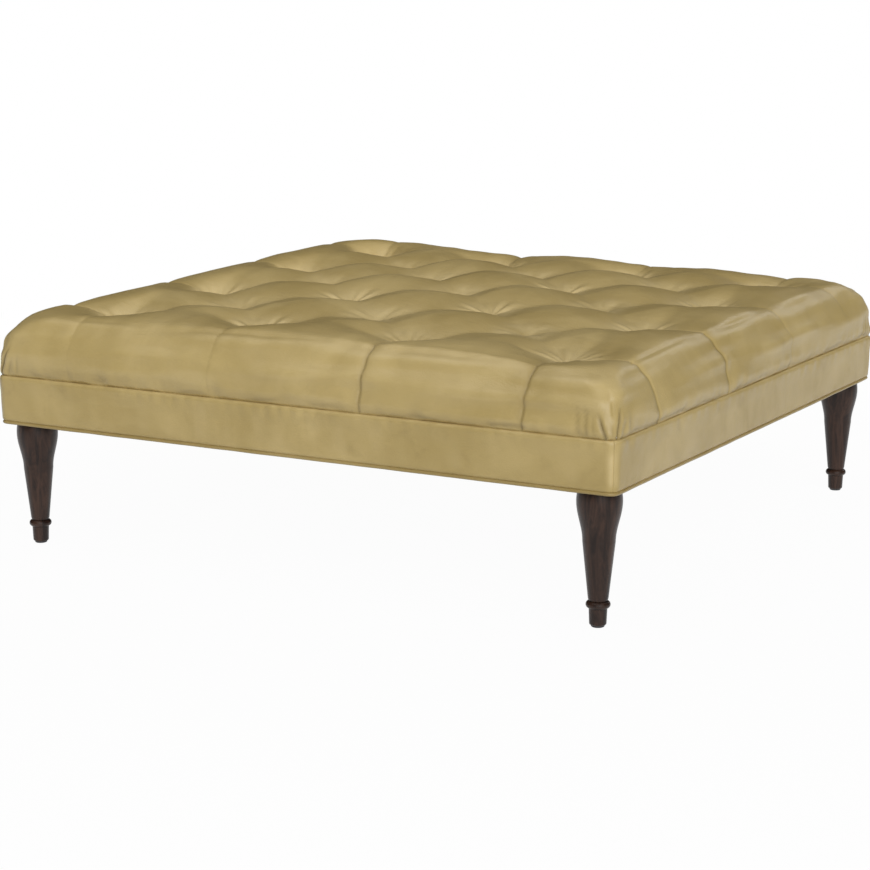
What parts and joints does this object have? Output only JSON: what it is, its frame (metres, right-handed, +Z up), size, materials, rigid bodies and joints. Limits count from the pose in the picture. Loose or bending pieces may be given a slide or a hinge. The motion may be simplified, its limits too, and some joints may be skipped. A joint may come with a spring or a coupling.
{
  "type": "ottoman",
  "caption": "Low square upholstered ottoman with a diamond tufted leather top, a leather band with a welt along its bottom edge, and turned wooden legs.",
  "frame": {"origin": "on the floor under the middle of the frame", "axes": "+Z up; +X to the right and -Y to the front, square to the sides of the ottoman"},
  "size_m": [1.2304, 1.2304, 0.4572],
  "materials": {
    "top_leather": "semi-gloss, lightly grained",
    "band_leather": "semi-gloss, lightly grained",
    "leg_wood": "satin espresso stain",
    "frame_wood": "planed, unfinished",
    "plywood": "sanded, unfinished",
    "steel": "zinc plated",
    "foam": "open-cell foam",
    "batting": "fleecy",
    "felt": "needled felt",
    "card": "plain",
    "dust_cloth": "black non-woven",
    "cord": "twisted twine",
    "plastic": "matt"
  },
  "bodies": {
    "root": {"leg_front_left": "leg_wood", "leg_front_right": "leg_wood", "leg_back_left": "leg_wood", "leg_back_right": "leg_wood", "foot_glides": "plastic", "hanger_bolts": "steel", "tee_nuts": "steel", "rail_front": "frame_wood", "rail_back": "frame_wood", "rail_left": "frame_wood", "rail_right": "frame_wood", "rail_dowels": "frame_wood", "cross_rail_left": "frame_wood", "cross_rail_right": "frame_wood", "cross_rail_screws": "steel", "corner_block_front_left": "frame_wood", "corner_block_front_right": "frame_wood", "corner_block_back_left": "frame_wood", "corner_block_back_right": "frame_wood", "corner_block_screws": "steel", "deck_board": "plywood", "deck_screws": "steel", "foam_pad": "foam", "batting": "batting", "top_cover": "top_leather", "tuft_anchors": "plastic", "tuft_twines": "cord", "tie_washers": "steel", "tack_strip_front": "card", "tack_strip_back": "card", "tack_strip_left": "card", "tack_strip_right": "card", "band_pad_front": "felt", "band_pad_back": "felt", "band_pad_left": "felt", "band_pad_right": "felt", "band_front": "band_leather", "band_back": "band_leather", "band_left": "band_leather", "band_right": "band_leather", "welt_cord": "cord", "welt_cover": "band_leather", "dust_cover": "dust_cloth"}
  },
  "joints": []
}
